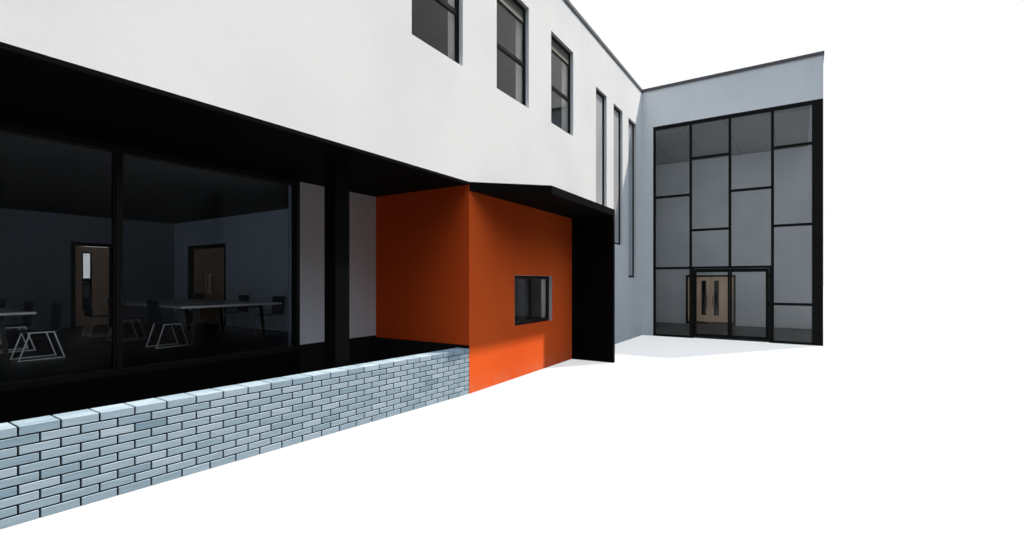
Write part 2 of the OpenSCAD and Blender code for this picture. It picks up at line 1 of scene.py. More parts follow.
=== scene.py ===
import math
import bpy
import numpy as np
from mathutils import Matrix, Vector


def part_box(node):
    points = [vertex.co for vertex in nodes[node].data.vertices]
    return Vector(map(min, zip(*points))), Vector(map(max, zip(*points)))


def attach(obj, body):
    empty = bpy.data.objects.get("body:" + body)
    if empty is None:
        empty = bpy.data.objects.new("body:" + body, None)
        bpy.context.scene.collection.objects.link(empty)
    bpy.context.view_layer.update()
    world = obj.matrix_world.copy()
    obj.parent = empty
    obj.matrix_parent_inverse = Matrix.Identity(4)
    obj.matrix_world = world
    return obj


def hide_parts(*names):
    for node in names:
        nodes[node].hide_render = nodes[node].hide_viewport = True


# School building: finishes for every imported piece, and the fine pieces that the solids leave out.
# Lengths are metres. X runs along the wing, Y into the building, Z up from the paving.

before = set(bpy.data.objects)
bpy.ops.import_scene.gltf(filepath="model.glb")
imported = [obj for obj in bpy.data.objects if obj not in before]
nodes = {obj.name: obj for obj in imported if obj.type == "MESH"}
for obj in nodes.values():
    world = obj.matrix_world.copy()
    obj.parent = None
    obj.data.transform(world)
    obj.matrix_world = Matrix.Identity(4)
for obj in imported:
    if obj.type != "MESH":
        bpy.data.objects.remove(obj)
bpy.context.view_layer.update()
print("frame loaded,", len(nodes), "pieces")


# Shader helpers

class Value:
    # an output socket; arithmetic on it adds Math nodes
    def __init__(self, shading, link):
        self.shading = shading
        self.link = link

    def __add__(self, other):
        return self.shading.maths("ADD", self, other)

    def __sub__(self, other):
        return self.shading.maths("SUBTRACT", self, other)

    def __rsub__(self, other):
        return self.shading.maths("SUBTRACT", other, self)

    def __mul__(self, other):
        return self.shading.maths("MULTIPLY", self, other)

    def __truediv__(self, other):
        return self.shading.maths("DIVIDE", self, other)

    def __lt__(self, other):
        return self.shading.maths("LESS_THAN", self, other)

    def __gt__(self, other):
        return self.shading.maths("GREATER_THAN", self, other)

    def fraction(self):
        return self.shading.maths("FRACT", self)

    def size(self):
        return self.shading.maths("ABSOLUTE", self)

    def largest(self, other):
        return self.shading.maths("MAXIMUM", self, other)


class Shading:
    # the nodes of a material or of the world
    def __init__(self, owner):
        self.owner = owner
        owner.use_nodes = True
        self.tree = owner.node_tree
        self.tree.nodes.clear()

    def add(self, kind, settings=None, inputs=None, output=0):
        node = self.tree.nodes.new("ShaderNode" + kind)
        for name, value in (settings or {}).items():
            setattr(node, name, value)
        for socket, value in (inputs or {}).items():
            self.join(node.inputs[socket], value)
        return None if output is None else Value(self, node.outputs[output])

    def join(self, socket, value):
        if isinstance(value, Value):
            self.tree.links.new(value.link, socket)
        else:
            socket.default_value = value

    def maths(self, operation, first, second=0.0):
        return self.add("Math", {"operation": operation}, {0: first, 1: second})

    def ramp(self, value, low, high):
        # 0 up to low, 1 from high, smooth between them
        return self.add("MapRange", {"interpolation_type": "SMOOTHSTEP"},
                        {"Value": value, "From Min": low, "From Max": high})

    def blend(self, factor, first, second):
        return self.add("Mix", {"data_type": "RGBA"}, {0: factor, 6: first, 7: second}, output=2)


class Finish(Shading):
    # one material; its constants go on the shader's own sockets
    def __init__(self, name, **constants):
        super().__init__(bpy.data.materials.new(name))
        self.name = name
        self.output = self.tree.nodes.new("ShaderNodeOutputMaterial")
        self.surface = self.newShader(constants)
        self.tree.links.new(self.surface.link, self.output.inputs["Surface"])

    def newShader(self, constants):
        self.shader = self.tree.nodes.new("ShaderNodeBsdfPrincipled")
        for socket, value in constants.items():
            self.shader.inputs[socket.replace("_", " ")].default_value = value
        return Value(self, self.shader.outputs["BSDF"])

    def cover(self, mask, **constants):
        # another surface that takes the first one's place where the mask is 1; feed() then sets this one
        under = self.surface
        self.surface = self.add("MixShader", inputs={0: mask, 1: under, 2: self.newShader(constants)})
        self.tree.links.new(self.surface.link, self.output.inputs["Surface"])

    def feed(self, **sockets):
        for socket, value in sockets.items():
            self.join(self.shader.inputs[socket.replace("_", " ")], value)

    def dress(self, colour, wear, look):
        # the colour, and the roughness that the wear adds to
        self.feed(Base_Color=colour, Roughness=wear * look["uneven"] + look["rough"])

    def bump(self, height, distance):
        self.feed(Normal=self.add("Bump", inputs={"Height": height, "Distance": distance}))

    def grain(self, look):
        self.bump(self.noise(*look["grain"]), look["height"])

    def place(self):
        return self.add("TexCoord", output="Object")

    def axes(self):
        node = self.add("SeparateXYZ", inputs={0: self.place()}).link.node
        return [Value(self, socket) for socket in node.outputs]

    def noise(self, scale, detail, stretch=(1, 1, 1), roughness=0.5):
        place = self.add("Mapping", inputs={"Vector": self.place(), "Scale": stretch})
        return self.add("TexNoise", inputs={"Vector": place, "Scale": scale, "Detail": detail,
                                            "Roughness": roughness})

    def patches(self, scale, detail, low, high, stretch=(1, 1, 1)):
        # noise with 0 in its parts up to low and 1 in its parts from high
        return self.ramp(self.noise(scale, detail, stretch), low, high)

    def colourRamp(self, factor, stops):
        colour = self.add("ValToRGB", inputs={0: factor})
        elements = colour.link.node.color_ramp.elements
        while len(elements) < len(stops):
            elements.new(0.5)
        for element, (place, tone) in zip(elements, stops):
            element.position = place
            element.color = tone
        return colour

    def seam(self, along, pitch, width, start=0.0):
        # 1 on a line of that width at every pitch along an axis, 0 elsewhere
        turn = ((along - start) / pitch + 0.5).fraction()
        return (turn - 0.5).size() < width / (2 * pitch)

    def joints(self, x, y, look):
        # the joints round boards or tiles laid in rows
        across = self.seam(x, look["alongX"], look["joint"])
        return across.largest(self.seam(y, look["alongY"], look["joint"]))


def rgb(red, green, blue):
    return (red, green, blue, 1.0)


def grey(level):
    return rgb(level, level, level)


# Finishes. In the settings a noise is (scale, detail, stretch, roughness) and patches are
# (scale, detail, low, high, stretch). Two tones are those where the pattern is 0 and where it is 1,
# and the roughness is rough where the pattern is 0 and uneven more where it is 1

# Plain finishes: one pattern blends two tones and adds to the roughness, under a fine grain

# satin powder coat, duller in patches
coat = {"patches": (2.4, 3, 0.42, 0.72), "uneven": 0.14, "grain": (900, 1), "height": 0.0002}
plainLooks = {
    "black_frame": dict(coat, tones=(grey(0.0035), grey(0.0065)), rough=0.42, shine=0.07),
    "dark_lining": dict(coat, tones=(rgb(0.009, 0.0088, 0.0085), rgb(0.015, 0.014, 0.014)), rough=0.45,
                        shine=0.25),
    "kick_plate": dict(coat, tones=(rgb(0.036, 0.025, 0.019), rgb(0.050, 0.034, 0.026)), rough=0.4,
                       shine=0.3),
    "pale_lining": dict(coat, tones=(rgb(0.82, 0.80, 0.80), rgb(0.88, 0.86, 0.85)), rough=0.45, shine=0.3),
    "dark_pull": dict(coat, tones=(grey(0.007), grey(0.012)), rough=0.3, shine=0.4),
    "furniture_steel": dict(coat, tones=(grey(0.010), grey(0.020)), rough=0.38, shine=0.3),
    # folded sheet with pale runs on a dark grey coat
    "coping_metal": {"patches": (3, 3, 0.45, 0.75, (4, 4, 0.6)), "rough": 0.38, "uneven": 0.2, "shine": 0.4,
                     "tones": (rgb(0.052, 0.058, 0.066), rgb(0.088, 0.095, 0.104)), "grain": (6, 2),
                     "height": 0.0015},
    # satin stainless bar, brushed along its length
    "brushed_steel": {"noise": (70, 3, (6, 6, 0.3)), "tones": (grey(0.50), grey(0.62)), "rough": 0.22,
                      "uneven": 0.2, "metal": 1.0, "grain": (70, 3, (6, 6, 0.3)), "height": 0.0001},
    # satin white laminate, wiped thinner in broad strokes
    "table_laminate": {"noise": (5, 3, (3, 0.5, 1)), "tones": (grey(0.66), rgb(0.58, 0.59, 0.60)),
                       "rough": 0.28, "uneven": 0.2, "shine": 0.45, "grain": (700, 1), "height": 0.0001},
    # matt gasket rubber
    "seal_rubber": {"noise": (30, 2), "tones": (grey(0.006), grey(0.012)), "rough": 0.6, "uneven": 0.2,
                    "shine": 0.25, "grain": (400, 1), "height": 0.0002},
    # dark struck mortar with sand grain
    "brick_mortar": {"patches": (420, 3, 0.3, 0.7), "rough": 0.95, "uneven": 0.0, "shine": 0.2,
                     "tones": (rgb(0.004, 0.006, 0.010), rgb(0.009, 0.012, 0.018)), "grain": (420, 3),
                     "height": 0.001},
}


def plainFinish(name):
    look = plainLooks[name]
    finish = Finish(name, Metallic=look.get("metal", 0.0), Specular_IOR_Level=look.get("shine", 0.5))
    pattern = finish.patches(*look["patches"]) if "patches" in look else finish.noise(*look["noise"])
    finish.dress(finish.blend(pattern, *look["tones"]), pattern, look)
    finish.grain(look)
    return finish


plasterLook = {
    "rough": 0.72, "shine": 0.3, "patches": (0.8, 2, 0.3, 0.7), "grain": (160, 2), "height": 0.0004,
    "lobby": (rgb(0.51, 0.53, 0.56), rgb(0.475, 0.50, 0.53)), "diningTo": 0.0,
    # the dining tone is a painted sky reflection and the back tone is painted shade
    "dining": (rgb(0.58, 0.68, 0.80), rgb(0.52, 0.62, 0.75)),
    "back": (rgb(0.17, 0.19, 0.225), rgb(0.145, 0.165, 0.20)),
    "backTo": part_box("dining_end_wall")[0].x - 0.001,
}


def innerPlaster():
    # roller-painted plaster with a soft orange-peel: one tone in the lobby, a bluer, paler one on the dining
    # room's end wall, which is a painted sky reflection, and a darker one on its back wall, which is painted
    # shade
    look = plasterLook
    finish = Finish("inner_plaster", Roughness=look["rough"], Specular_IOR_Level=look["shine"])
    x = finish.axes()[0]
    patch = finish.patches(*look["patches"])
    lobby, dining, back = (finish.blend(patch, *look[room]) for room in ("lobby", "dining", "back"))
    inRooms = finish.blend(x < look["diningTo"], lobby, dining)
    finish.feed(Base_Color=finish.blend(x < look["backTo"], inRooms, back))
    finish.grain(look)
    return finish


renderLook = {
    "rough": 0.86, "shine": 0.12, "patches": (0.55, 3, 0.35, 0.68), "dirt": rgb(0.52, 0.52, 0.50),
    "streaks": (1, 3, 0.48, 0.75, (7, 7, 0.35)), "streakPart": 0.5, "copingFoot": 7.83, "streakLength": 1.6,
    # foot: near-black painted shadow for the shaded grass bed along the walls' base
    "dust": (5, 4, 0.25, 0.8), "dustHeight": 0.35, "foot": rgb(0.004, 0.004, 0.0042),
    "grain": (240, 3, (1, 1, 1), 0.6), "trowel": (7, 2), "trowelPart": 2.5, "height": 0.0007,
}
whiteWall = {"tones": (rgb(0.80, 0.795, 0.785), rgb(0.745, 0.745, 0.740)), "dirt": 0.22}
wallLooks = {
    "white_render": whiteWall,
    # orange: the side tone is painted shade, a deeper copy of the front's orange, and the foot is painted
    # shadow
    "orange_render": {"tones": (rgb(0.95, 0.132, 0.020), rgb(0.88, 0.110, 0.016)), "dirt": 0.12,
                      "behind": -3.559, "side": rgb(0.82, 0.090, 0.012), "bedShadowTop": 0.75},
    "side_render": dict(whiteWall, insideFrom=-8.425, insideTo=12.86, inside=plasterLook["lobby"][0]),
    # recess panels: their near-black foot is painted shadow, and their inner faces take the back wall's dark
    # tone, painted shade
    "recess_render": dict(whiteWall, behind=-9.0, bedShadowTop=0.785, insideFrom=-1.485, insideTo=9.0,
                          inside=plasterLook["back"][0]),
}


def renderFinish(name):
    # smooth painted render: trowel waves and fine grain, faint streaks under the coping, dust at the foot.
    # Past a set Y a wall may have its side's deeper tone, which is painted shade, and a near-black foot up to
    # a set height, which is a painted shadow where the wall meets the grass bed. Where it turns in behind the
    # glazing, past insideFrom in Y and short of insideTo in X, it is plastered
    look, wall = renderLook, wallLooks[name]
    finish = Finish(name, Roughness=look["rough"], Specular_IOR_Level=look["shine"])
    x, y, z = finish.axes()
    streak = finish.patches(*look["streaks"])
    high = finish.ramp(z, look["copingFoot"] - look["streakLength"], look["copingFoot"])
    low = 1 - finish.ramp(z, 0.0, look["dustHeight"])
    dirt = streak * high * look["streakPart"] + low * finish.patches(*look["dust"])
    colour = finish.blend(finish.patches(*look["patches"]), *wall["tones"])
    colour = finish.blend(dirt * wall["dirt"], colour, look["dirt"])
    # the side's deeper orange is painted shade
    if "side" in wall:
        colour = finish.blend(y > wall["behind"], colour, wall["side"])
    # near-black up to the bed's height: painted shadow
    if "bedShadowTop" in wall:
        colour = finish.blend((z < wall["bedShadowTop"]) * (y > wall["behind"]), colour, look["foot"])
    if "inside" in wall:
        colour = finish.blend((y > wall["insideFrom"]) * (x < wall["insideTo"]), colour, wall["inside"])
    grain = finish.noise(*look["grain"])
    finish.feed(Base_Color=colour)
    finish.bump(grain + finish.noise(*look["trowel"]) * look["trowelPart"], look["height"])
    return finish


floorLook = {
    "alongX": 1.2, "alongY": 0.6, "joint": 0.003, "jointTone": grey(0.004), "depth": 0.0006, "shine": 0.3,
    "clouds": (1.3, 3, 0.3, 0.7), "tones": (grey(0.010), grey(0.015)), "chips": (130, 2, 0.62, 0.70),
    "chipPart": 0.5, "chipTone": grey(0.05), "wear": (3, 3), "rough": 0.30, "uneven": 0.25,
}


def darkFloor():
    # resilient tiles, dark grey with small chips, laid in a grid of narrow joints
    look = floorLook
    finish = Finish("dark_floor", Specular_IOR_Level=look["shine"])
    x, y, _ = finish.axes()
    joint = finish.joints(x, y, look)
    base = finish.blend(finish.patches(*look["clouds"]), *look["tones"])
    speckled = finish.blend(finish.patches(*look["chips"]) * look["chipPart"], base, look["chipTone"])
    finish.dress(finish.blend(joint, speckled, look["jointTone"]), finish.noise(*look["wear"]), look)
    finish.bump(1 - joint, look["depth"])
    return finish


concreteLook = {
    "rough": 0.9, "pores": (55, 3, 0.66, 0.74), "mark": 0.5, "markWidth": 0.004, "clouds": (1.7, 4, 0.3, 0.7),
    "tones": (rgb(0.40, 0.40, 0.385), rgb(0.33, 0.33, 0.32)), "poreTone": grey(0.16), "depth": 0.0012,
}


def concrete():
    # fair-faced slab with pores and a board mark every half metre
    look = concreteLook
    finish = Finish("concrete", Roughness=look["rough"])
    x = finish.axes()[0]
    hollows = finish.patches(*look["pores"]).largest(finish.seam(x, look["mark"], look["markWidth"]))
    base = finish.blend(finish.patches(*look["clouds"]), *look["tones"])
    finish.feed(Base_Color=finish.blend(hollows, base, look["poreTone"]))
    finish.bump(1 - hollows, look["depth"])
    return finish


roofLook = {
    "rough": 0.88, "sheet": 1.05, "lap": 0.09, "lapPart": 0.35, "lapTone": grey(0.08), "grit": (320, 2),
    "gritPart": 0.4, "ponds": (0.35, 4, 0.45, 0.7), "height": 0.003,
    "tones": (rgb(0.135, 0.14, 0.148), rgb(0.165, 0.17, 0.172)),
}


def roofMembrane():
    # lapped sheets: each lap stands a little proud, the surface is gritted
    look = roofLook
    finish = Finish("roof_membrane", Roughness=look["rough"])
    x = finish.axes()[0]
    lap = finish.seam(x, look["sheet"], look["lap"])
    base = finish.blend(finish.patches(*look["ponds"]), *look["tones"])
    finish.feed(Base_Color=finish.blend(lap * look["lapPart"], base, look["lapTone"]))
    finish.bump(lap + finish.noise(*look["grit"]) * look["gritPart"], look["height"])
    return finish


ceilingLook = {
    "rough": 0.92, "shine": 0.2, "alongX": 0.6, "alongY": 1.2, "joint": 0.012, "jointTone": grey(0.06),
    "fissures": (90, 3, 0.6, 0.7, (1, 2.5, 1)), "fissurePart": 0.4, "fissureDepth": 0.3, "depth": 0.002,
    "tones": (grey(0.29), grey(0.22)), "diningTo": 0.0,
    # the dining tones are painted shade, a darker copy of the boards
    "dining": (rgb(0.066, 0.066, 0.068), rgb(0.050, 0.050, 0.052)),
}


def ceilingBoard():
    # suspended boards with a shallow shadow joint round each, much darker over the dining room as painted
    # shade
    look = ceilingLook
    finish = Finish("ceiling_board", Roughness=look["rough"], Specular_IOR_Level=look["shine"])
    x, y, _ = finish.axes()
    joint = finish.joints(x, y, look)
    fissure = finish.patches(*look["fissures"])
    base, dining = (finish.blend(fissure * look["fissurePart"], *look[room]) for room in ("tones", "dining"))
    board = finish.blend(x < look["diningTo"], base, dining)
    finish.feed(Base_Color=finish.blend(joint, board, look["jointTone"]))
    finish.bump(1 - joint.largest(fissure * look["fissureDepth"]), look["depth"])
    return finish


claddingLook = {
    "shine": 0.03, "panel": 2.2, "joint": 0.008, "firstJoint": 0.41, "jointTone": grey(0.001), "jointPart": 2,
    "clouds": (1.1, 3, 0.3, 0.7), "tones": (rgb(0.0012, 0.0012, 0.0013), rgb(0.0024, 0.0024, 0.0026)),
    "wear": (2, 3), "rough": 0.55, "uneven": 0.2, "grain": (300, 2), "grainPart": 0.2, "height": 0.0008,
}


def blackCladding():
    # matt black sheet in bay-wide panels
    look = claddingLook
    finish = Finish("black_cladding", Specular_IOR_Level=look["shine"])
    x = finish.axes()[0]
    joint = finish.seam(x, look["panel"], look["joint"], look["firstJoint"])
    base = finish.blend(finish.patches(*look["clouds"]), *look["tones"])
    finish.dress(finish.blend(joint, base, look["jointTone"]), finish.noise(*look["wear"]), look)
    grain = finish.noise(*look["grain"])
    finish.bump(grain * look["grainPart"] + (1 - joint) * look["jointPart"], look["height"])
    return finish


brickLook = {
    "courses": 10, "pitch": 0.2255, "joint": 0.0115, "rake": 0.008, "chamfer": 0.0025, "coreChamfer": 0.001,
    "shortest": 0.04, "wobble": 0.0015, "endBand": 0.01, "seed": 41, "tone": (0.58, 0.14),
    "toneLimits": (0.05, 0.98), "shine": 0.4, "drag": (16, 4, (0.4, 1, 2.6)), "dragPart": 0.32,
    "tones": [(0.0, rgb(0.150, 0.235, 0.295)), (0.3, rgb(0.250, 0.350, 0.415)),
              (0.62, rgb(0.350, 0.450, 0.520)), (1.0, rgb(0.470, 0.565, 0.630))],
    "bloom": (2.2, 4, 0.5, 0.8), "bloomPart": 0.22, "bloomTone": rgb(0.56, 0.63, 0.68),
    "pits": (120, 3, 0.64, 0.74), "pitPart": 0.6, "pitTone": rgb(0.09, 0.12, 0.15), "rough": 0.42,
    "uneven": 0.25, "dragHeight": 2, "height": 0.0012,
}


def brickFinish():
    # each brick's own tone, with faint drag marks along it and small pits
    look = brickLook
    finish = Finish("blue_brick", Specular_IOR_Level=look["shine"])
    tone = finish.add("Attribute", {"attribute_name": "tone"}, output="Fac")
    drag = finish.noise(*look["drag"])
    pits = finish.patches(*look["pits"])
    colour = finish.colourRamp(tone + (drag - 0.5) * look["dragPart"], look["tones"])
    worn = finish.blend(finish.patches(*look["bloom"]) * look["bloomPart"], colour, look["bloomTone"])
    finish.dress(finish.blend(pits * look["pitPart"], worn, look["pitTone"]), drag, look)
    finish.bump(drag * look["dragHeight"] - pits, look["height"])
    return finish


# Each glass: its index, and its tones where it is clean and where it is dusty
glassLooks = {
    "clear_glass": (1.19, (rgb(0.88, 0.915, 0.935), rgb(0.82, 0.855, 0.875))),
    "window_glass": (1.22, (rgb(0.96, 0.975, 0.98), rgb(0.91, 0.925, 0.93))),
    # dining glass: its grey tint is painted shade for the dim room beyond it
    "dining_glass": (1.07, (rgb(0.77, 0.81, 0.84), rgb(0.72, 0.76, 0.79))),
    # vision glass: its dark tint is painted shade for the dark hall beyond it
    "vision_glass": (1.30, (rgb(0.50, 0.51, 0.52), rgb(0.44, 0.45, 0.46))),
}
glassSurface = {"dust": (1.4, 4, 0.35, 0.8), "grain": (0.9, 1), "height": 0.0002}


def coatedGlass(name):
    # glazing with a low-reflection coat: thin dust in patches and a faint roller wave
    index, tones = glassLooks[name]
    finish = Finish(name, Roughness=0.0, IOR=index, Transmission_Weight=1.0)
    finish.feed(Base_Color=finish.blend(finish.patches(*glassSurface["dust"]), *tones))
    finish.grain(glassSurface)
    return finish


windowLook = {
    "frontSide": -3.0, "hatchIndex": 1.07, "hatch": rgb(0.86, 0.87, 0.88), "hatchTop": 1.87, "slotsFrom": 3.7,
    "slotsTo": 9.0, "slotMiddle": 7.305, "slotPitch": 1.3, "filmTo": 0.268, "rough": 0.3, "shine": 0.5,
    "clouds": (0.8, 3, 0.3, 0.75, (3, 1, 1)), "film": (rgb(0.44, 0.44, 0.445), rgb(0.39, 0.39, 0.395)),
    "grain": (220, 2), "height": 0.0002,
}


def windowGlass():
    # clear in the upper windows, less mirror-like and tinted grey in the hatch, a tint that is painted shade
    # for the room beyond it, and an opal film in the slot windows that ends filmTo past each one's middle,
    # short of the frame on that side
    look = windowLook
    finish = coatedGlass("window_glass")
    x, y, z = finish.axes()
    front = y < look["frontSide"]
    # the hatch's grey tint is painted shade for the room beyond it
    finish.cover(front * (z < look["hatchTop"]), Roughness=0.0, IOR=look["hatchIndex"],
                 Transmission_Weight=1.0, Base_Color=look["hatch"])
    pane = ((x - look["slotMiddle"]) / look["slotPitch"] + 0.5).fraction()
    film = (pane < 0.5 + look["filmTo"] / look["slotPitch"]) * (x > look["slotsFrom"]) * (x < look["slotsTo"])
    finish.cover(front * film, Roughness=look["rough"], Specular_IOR_Level=look["shine"])
    finish.feed(Base_Color=finish.blend(finish.patches(*look["clouds"]), *look["film"]))
    finish.grain(look)
    return finish


panelLook = {"shine": 0.3, "clouds": (3, 2, 0.3, 0.7), "tones": (grey(0.012), grey(0.018)), "stripFoot": 6.59,
             "stripTop": 6.76, "strip": rgb(0.25, 0.245, 0.205), "rough": 0.4, "uneven": 0.15,
             "grain": (500, 1), "height": 0.0002}


def greyPanel():
    # satin head panel, dark, paling towards its foot
    look = panelLook
    finish = Finish("grey_panel", Specular_IOR_Level=look["shine"])
    z = finish.axes()[2]
    cloud = finish.patches(*look["clouds"])
    strip = 1 - finish.ramp(z, look["stripFoot"], look["stripTop"])
    finish.dress(finish.blend(strip, finish.blend(cloud, *look["tones"]), look["strip"]), cloud, look)
    finish.grain(look)
    return finish


veneerLook = {
    "coat": 0.15, "coatRough": 0.25, "rings": 22, "bend": (1.1, 2, (1, 1, 0.35)), "bendPart": 9,
    "ringEdge": (0.12, 0.5), "ringPart": 0.35, "figure": (2.5, 3, 0.3, 0.75, (2, 2, 0.5)), "figurePart": 0.3,
    "tones": (rgb(0.66, 0.475, 0.335), rgb(0.47, 0.31, 0.205)), "pores": (60, 3, 0.56, 0.68, (9, 9, 0.5)),
    "porePart": 0.35, "poreTone": rgb(0.30, 0.185, 0.11), "poreDepth": 0.6, "rough": 0.38, "uneven": 0.12,
    "depth": 0.0003,
}


def doorVeneer():
    # crown-cut veneer: growth lines drawn up the leaf by a stretched, bent wave, with short pores
    look = veneerLook
    finish = Finish("door_veneer", Coat_Weight=look["coat"], Coat_Roughness=look["coatRough"])
    x, y, _ = finish.axes()
    lines = ((x + y) * look["rings"] + finish.noise(*look["bend"]) * look["bendPart"]).fraction()
    ring = finish.ramp((lines - 0.5).size(), *look["ringEdge"])
    pores = finish.patches(*look["pores"])
    figure = finish.patches(*look["figure"])
    base = finish.blend(ring * look["ringPart"] + figure * look["figurePart"], *look["tones"])
    finish.dress(finish.blend(pores * look["porePart"], base, look["poreTone"]), figure, look)
    finish.bump(1 - pores * look["poreDepth"], look["depth"])
    return finish


chairLook = {"shine": 0.4, "scuffs": (18, 4, 0.55, 0.8), "scuffPart": 0.5, "rough": 0.42, "uneven": 0.2,
             "tones": (rgb(0.010, 0.018, 0.034), rgb(0.035, 0.048, 0.070)), "leatherScale": 520.0,
             "height": 0.0002}


def chairPlastic():
    # moulded plastic with a fine leather texture
    look = chairLook
    finish = Finish("chair_plastic", Specular_IOR_Level=look["shine"])
    scuff = finish.patches(*look["scuffs"])
    finish.dress(finish.blend(scuff * look["scuffPart"], *look["tones"]), scuff, look)
    leather = finish.add("TexVoronoi", inputs={"Vector": finish.place(), "Scale": look["leatherScale"]})
    finish.bump(leather, look["height"])
    return finish


made = [renderFinish(name) for name in wallLooks]
made += [plainFinish(name) for name in plainLooks]
made += [coatedGlass(name) for name in ("clear_glass", "dining_glass", "vision_glass")]
made += [windowGlass(), innerPlaster(), darkFloor(), concrete(), roofMembrane(), ceilingBoard(),
         blackCladding(), greyPanel(), doorVeneer(), brickFinish(), chairPlastic()]
finishes = {finish.name: finish.owner for finish in made}

nodeFinishes = {
    "white_render": ["front_wall", "slot_window_wall", "rear_wall", "left_end_wall", "block_front_wall",
                     "block_end_wall"],
    "orange_render": ["orange_front_wall", "orange_side_wall"],
    "side_render": ["block_side_wall"],
    "recess_render": ["recess_wall_panels"],
    "inner_plaster": ["lobby_wall", "door_lintels", "dining_end_wall", "dining_back_wall"],
    "dark_floor": ["ground_floor", "dining_floor"],
    "concrete": ["upper_floor_slab"],
    "roof_membrane": ["wing_roof", "block_roof"],
    "ceiling_board": ["ceilings"],
    "black_cladding": ["soffit", "canopy", "canopy_fin", "columns", "dining_sill_and_lintel"],
    "black_frame": ["dining_window_frame", "front_window_frames", "back_window_frames", "corner_post",
                    "curtain_wall_sides", "curtain_wall_over_doors", "side_curtain_wall",
                    "entrance_door_left", "entrance_door_right"],
    "dark_lining": ["door_frames"],
    "coping_metal": ["copings_along_wing", "copings_across_wing"],
    "grey_panel": ["window_head_panels"],
    "clear_glass": ["curtain_wall_glass", "entrance_glass_left", "entrance_glass_right"],
    "window_glass": ["window_glass"],
    "dining_glass": ["dining_window_glass"],
    "door_veneer": ["lobby_door_left", "lobby_door_right", "dining_door_left", "dining_door_right",
                    "corridor_door"],
    "blue_brick": ["planter_wall"],
    "table_laminate": ["table_tops"],
    "furniture_steel": ["table_trestles"],
    "chair_plastic": ["chair_shells"],
    "brushed_steel": ["chair_sleds"],
}
for finishName, members in nodeFinishes.items():
    for name in members:
        mesh = nodes[name].data
        if not mesh.materials:
            mesh.materials.append(None)
        for index in range(len(mesh.materials)):
            mesh.materials[index] = finishes[finishName]
print("finishes on", sum(len(members) for members in nodeFinishes.values()), "pieces")


# Mesh helpers. A shape is (points, groups of faces)

def makePiece(name, shape, finishName, body="building", smooth=False):
    # a mesh from whole arrays of points and faces, at the origin, riding on its body
    points, groups = shape
    mesh = bpy.data.meshes.new(name)
    mesh.from_pydata(points.tolist(), [], [face for group in groups for face in group.tolist()])
    mesh.materials.append(finishes[finishName])
    mesh.polygons.foreach_set("use_smooth", np.full(len(mesh.polygons), smooth))
    mesh.validate()
    piece = bpy.data.objects.new(name, mesh)
    bpy.context.scene.collection.objects.link(piece)
    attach(piece, body)
    return piece


def meshPoints(name):
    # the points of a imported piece's mesh
    mesh = nodes[name].data
    points = np.empty(len(mesh.vertices) * 3, np.float32)
    mesh.vertices.foreach_get("co", points)
    return points.reshape(-1, 3).astype(float)


# The 24 points of a box whose edges are all cut: each corner gives three, and each of those
# keeps one axis at full size while the other two are pulled in by the chamfer
cornerSigns = np.array([[sx, sy, sz] for sx in (0, 1) for sy in (0, 1) for sz in (0, 1)])
cutSigns = np.repeat(cornerSigns, 3, axis=0)
cutPull = 1 - np.tile(np.eye(3, dtype=int), (8, 1))


def pulledIn(low, high, chamfer):
    # the 24 points of each box between low and high
    return np.where(cutSigns == 1, high - chamfer * cutPull, low + chamfer * cutPull)


def cutFaces():
    # six sides, twelve edge strips and eight corners. Each group of points is put in order round its way
    # out of the box, by angles in the plane of flat and rise; skew is parallel to no way out
    unit = pulledIn(0, 1, 0.1)
    skew = [0.31, 0.55, 0.77]
    fullAxis = np.tile(np.arange(3), 8)
    groups = [np.flatnonzero((fullAxis == axis) & (cutSigns[:, axis] == side))
              for axis in range(3) for side in (0, 1)]
    for axis in range(3):
        for signs in ((0, 0), (0, 1), (1, 0), (1, 1)):
            edge = (np.delete(cutSigns, axis, axis=1) == signs).all(axis=1)
            groups.append(np.flatnonzero(edge & (fullAxis != axis)))
    groups += [np.arange(3 * corner, 3 * corner + 3) for corner in range(8)]
    faces = []
    for group in groups:
        middle = unit[group].mean(axis=0)
        out = middle - 0.5
        flat = np.cross(out, skew)
        rise = np.cross(out, flat)
        turn = np.arctan2((unit[group] - middle) @ rise, (unit[group] - middle) @ flat)
        faces.append(group[np.argsort(turn)])
    return [np.array([f for f in faces if len(f) == 4]), np.array([f for f in faces if len(f) == 3])]


boxFaces = cutFaces()


def cutBoxes(low, high, chamfer):
    # chamfered boxes from arrays of their low and high corners
    low, high = np.atleast_2d(low), np.atleast_2d(high)
    points = pulledIn(low[:, None], high[:, None], chamfer)
    step = len(cutSigns) * np.arange(len(low))[:, None, None]
    faces = [(group[None] + step).reshape(-1, group.shape[1]) for group in boxFaces]
    return points.reshape(-1, 3), faces


mergeDigits = 4


def solidBoxes(name):
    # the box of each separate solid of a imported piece: places are rounded to mergeDigits, and corners
    # that share a triangle take the lowest label among them until no label changes
    mesh = nodes[name].data
    corners = np.empty(len(mesh.loops), np.int32)
    mesh.loops.foreach_get("vertex_index", corners)
    places, same = np.unique(np.round(meshPoints(name), mergeDigits), axis=0, return_inverse=True)
    triangles = same.reshape(-1)[corners].reshape(-1, 3)
    labels = np.arange(len(places))
    while True:
        lowest = np.repeat(labels[triangles].min(axis=1), 3)
        new = labels.copy()
        np.minimum.at(new, triangles.reshape(-1), lowest)
        new = new[new]
        if (new == labels).all():
            break
        labels = new
    solids, member = np.unique(labels, return_inverse=True)
    low = np.full((len(solids), 3), np.inf)
    high = -low
    np.minimum.at(low, member, places)
    np.maximum.at(high, member, places)
    return low, high


